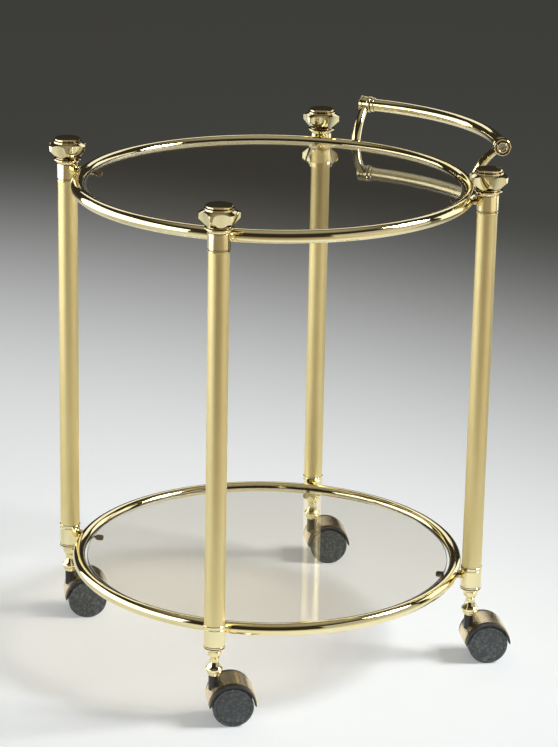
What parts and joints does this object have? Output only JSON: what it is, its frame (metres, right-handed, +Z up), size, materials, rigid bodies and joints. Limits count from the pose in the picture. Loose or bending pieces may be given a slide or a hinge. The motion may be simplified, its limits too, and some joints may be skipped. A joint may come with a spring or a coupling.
{
  "type": "serving cart",
  "caption": "Round two-tier serving cart: polished brass tube rings with smoked glass panes, satin gold posts with finials, curved handle and twin-wheel casters.",
  "frame": {"origin": "on the floor, at the centre of the cart's box; the upright axis of the two rings is 22.27 mm from it towards -X", "axes": "+Z up; +X towards the rear, where the handle is; +Y to the right of a driver who pushes towards -X"},
  "size_m": [0.5445, 0.4998, 0.6595],
  "materials": {
    "polished_brass": "polished",
    "satin_gold": "satin anodised",
    "smoked_glass": "polished, tinted",
    "caster_plastic": "moulded",
    "wheel_plastic": "moulded, dull",
    "steel": "zinc plated",
    "rubber": "smooth"
  },
  "bodies": {
    "frame": {"ring_lower": "polished_brass", "ring_upper": "polished_brass", "glass_pins": "polished_brass", "pin_caps": "rubber", "rear_left_post_tube": "satin_gold", "rear_left_upper_collar": "polished_brass", "rear_left_lower_collar": "polished_brass", "rear_left_finial": "polished_brass", "rear_left_foot": "polished_brass", "rear_left_caster_stem": "steel", "rear_right_post_tube": "satin_gold", "rear_right_upper_collar": "polished_brass", "rear_right_lower_collar": "polished_brass", "rear_right_finial": "polished_brass", "rear_right_foot": "polished_brass", "rear_right_caster_stem": "steel", "front_right_post_tube": "satin_gold", "front_right_upper_collar": "polished_brass", "front_right_lower_collar": "polished_brass", "front_right_finial": "polished_brass", "front_right_foot": "polished_brass", "front_right_caster_stem": "steel", "front_left_post_tube": "satin_gold", "front_left_upper_collar": "polished_brass", "front_left_lower_collar": "polished_brass", "front_left_finial": "polished_brass", "front_left_foot": "polished_brass", "front_left_caster_stem": "steel", "tie_rods": "steel", "stem_grip_rings": "steel", "handle_rod": "polished_brass", "handle_left_socket": "polished_brass", "handle_right_socket": "polished_brass", "handle_left_arm": "polished_brass", "handle_right_arm": "polished_brass", "handle_plugs": "steel", "handle_screws": "steel"},
    "lower_pane": {"glass_lower": "smoked_glass"},
    "upper_pane": {"glass_upper": "smoked_glass"},
    "rear_left_caster": {"rear_left_caster_housing": "caster_plastic", "rear_left_caster_hood": "polished_brass", "rear_left_caster_axle": "steel"},
    "rear_left_wheel_a": {"rear_left_caster_wheel_a": "wheel_plastic"},
    "rear_left_wheel_b": {"rear_left_caster_wheel_b": "wheel_plastic"},
    "rear_right_caster": {"rear_right_caster_housing": "caster_plastic", "rear_right_caster_hood": "polished_brass", "rear_right_caster_axle": "steel"},
    "rear_right_wheel_a": {"rear_right_caster_wheel_a": "wheel_plastic"},
    "rear_right_wheel_b": {"rear_right_caster_wheel_b": "wheel_plastic"},
    "front_right_caster": {"front_right_caster_housing": "caster_plastic", "front_right_caster_hood": "polished_brass", "front_right_caster_axle": "steel"},
    "front_right_wheel_a": {"front_right_caster_wheel_a": "wheel_plastic"},
    "front_right_wheel_b": {"front_right_caster_wheel_b": "wheel_plastic"},
    "front_left_caster": {"front_left_caster_housing": "caster_plastic", "front_left_caster_hood": "polished_brass", "front_left_caster_axle": "steel"},
    "front_left_wheel_a": {"front_left_caster_wheel_a": "wheel_plastic"},
    "front_left_wheel_b": {"front_left_caster_wheel_b": "wheel_plastic"}
  },
  "joints": [
    {"name": "lower_pane_lift", "type": "slide", "parent": "frame", "child": "lower_pane", "axis": [0, 0, 1], "range_m": [0, 0.12]},
    {"name": "upper_pane_lift", "type": "slide", "parent": "frame", "child": "upper_pane", "axis": [0, 0, 1], "range_m": [0, 0.12]},
    {"name": "rear_left_caster_swivel", "type": "hinge", "parent": "frame", "child": "rear_left_caster", "pos_m": [0.16581, -0.18809, 0.05], "axis": [0, 0, 1], "continuous": true},
    {"name": "rear_left_wheel_a_spin", "type": "hinge", "parent": "rear_left_caster", "child": "rear_left_wheel_a", "pos_m": [0.185, -0.19663, 0.025], "axis": [-0.4067, -0.9135, 0], "continuous": true},
    {"name": "rear_left_wheel_b_spin", "type": "hinge", "parent": "rear_left_caster", "child": "rear_left_wheel_b", "pos_m": [0.185, -0.19663, 0.025], "axis": [-0.4067, -0.9135, 0], "continuous": true},
    {"name": "rear_right_caster_swivel", "type": "hinge", "parent": "frame", "child": "rear_right_caster", "pos_m": [0.16581, 0.18809, 0.05], "axis": [0, 0, 1], "continuous": true},
    {"name": "rear_right_wheel_a_spin", "type": "hinge", "parent": "rear_right_caster", "child": "rear_right_wheel_a", "pos_m": [0.185, 0.17955, 0.025], "axis": [-0.4067, -0.9135, 0], "continuous": true},
    {"name": "rear_right_wheel_b_spin", "type": "hinge", "parent": "rear_right_caster", "child": "rear_right_wheel_b", "pos_m": [0.185, 0.17955, 0.025], "axis": [-0.4067, -0.9135, 0], "continuous": true},
    {"name": "front_right_caster_swivel", "type": "hinge", "parent": "frame", "child": "front_right_caster", "pos_m": [-0.21036, 0.18809, 0.05], "axis": [0, 0, 1], "continuous": true},
    {"name": "front_right_wheel_a_spin", "type": "hinge", "parent": "front_right_caster", "child": "front_right_wheel_a", "pos_m": [-0.19118, 0.17955, 0.025], "axis": [-0.4067, -0.9135, 0], "continuous": true},
    {"name": "front_right_wheel_b_spin", "type": "hinge", "parent": "front_right_caster", "child": "front_right_wheel_b", "pos_m": [-0.19118, 0.17955, 0.025], "axis": [-0.4067, -0.9135, 0], "continuous": true},
    {"name": "front_left_caster_swivel", "type": "hinge", "parent": "frame", "child": "front_left_caster", "pos_m": [-0.21036, -0.18809, 0.05], "axis": [0, 0, 1], "continuous": true},
    {"name": "front_left_wheel_a_spin", "type": "hinge", "parent": "front_left_caster", "child": "front_left_wheel_a", "pos_m": [-0.19118, -0.19663, 0.025], "axis": [-0.4067, -0.9135, 0], "continuous": true},
    {"name": "front_left_wheel_b_spin", "type": "hinge", "parent": "front_left_caster", "child": "front_left_wheel_b", "pos_m": [-0.19118, -0.19663, 0.025], "axis": [-0.4067, -0.9135, 0], "continuous": true}
  ]
}
